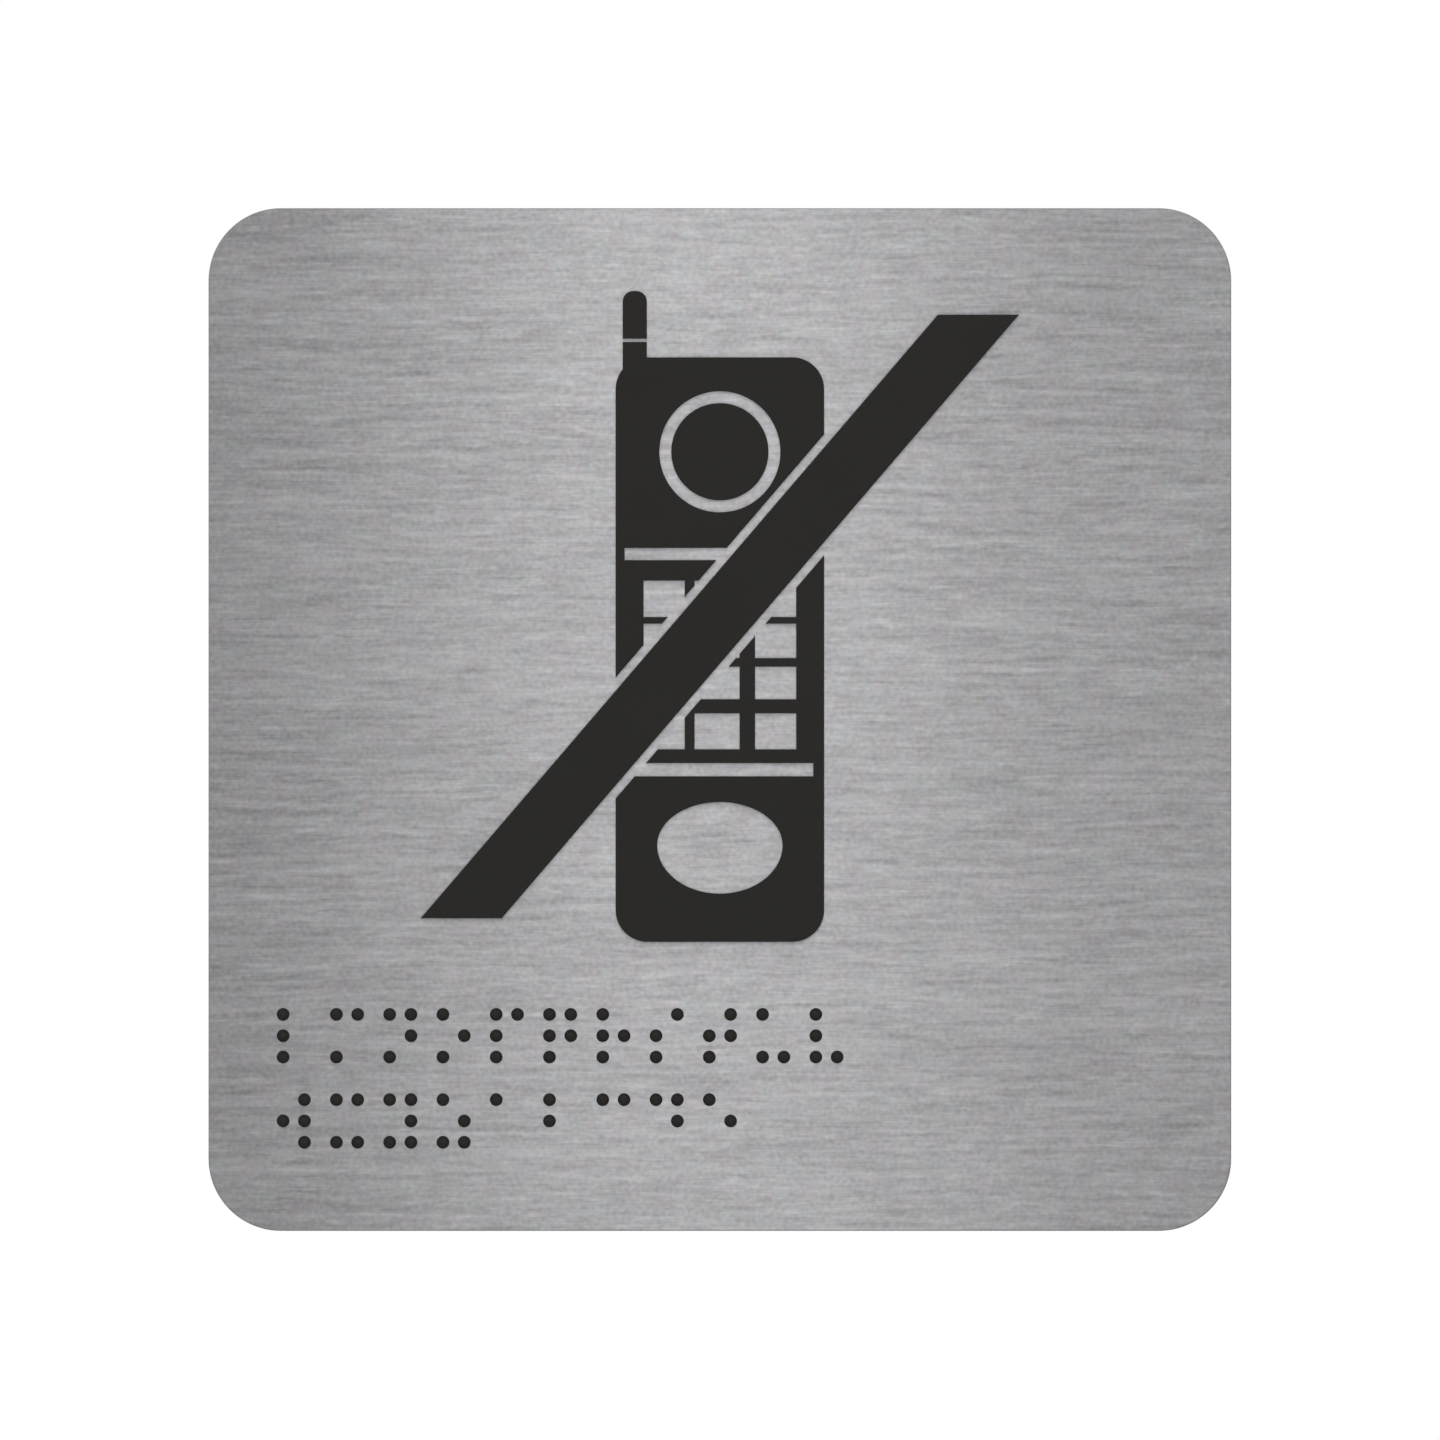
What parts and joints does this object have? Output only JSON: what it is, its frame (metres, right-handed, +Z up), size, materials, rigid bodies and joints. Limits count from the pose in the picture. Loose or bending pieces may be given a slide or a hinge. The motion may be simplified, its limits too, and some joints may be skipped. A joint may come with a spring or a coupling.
{
  "type": "no mobile phones sign",
  "caption": "Square wall sign of brushed metal with rounded corners, a raised black pictogram of a struck-out handset and lines of Braille beads, held by foam tape behind.",
  "frame": {"origin": "on the wall, behind the middle of the plate, at the back face of the middle strip of foam tape", "axes": "+Y into the wall, so the sign's face looks along -Y; +X to the reader's right; +Z up"},
  "size_m": [0.12, 0.0038, 0.12],
  "materials": {
    "brushed_plate": "brushed level, satin",
    "black_relief": "satin black",
    "black_beads": "smooth black",
    "foam_tape": "fine-celled foam with a tacky back"
  },
  "bodies": {
    "root": {"face_plate": "brushed_plate", "handset_upper": "black_relief", "handset_lower": "black_relief", "earpiece_disc": "black_relief", "aerial_tip": "black_relief", "slash_bar": "black_relief", "braille_beads_upper": "black_beads", "braille_beads_lower": "black_beads", "foam_tape_left": "foam_tape", "foam_tape_middle": "foam_tape", "foam_tape_right": "foam_tape"}
  },
  "joints": []
}
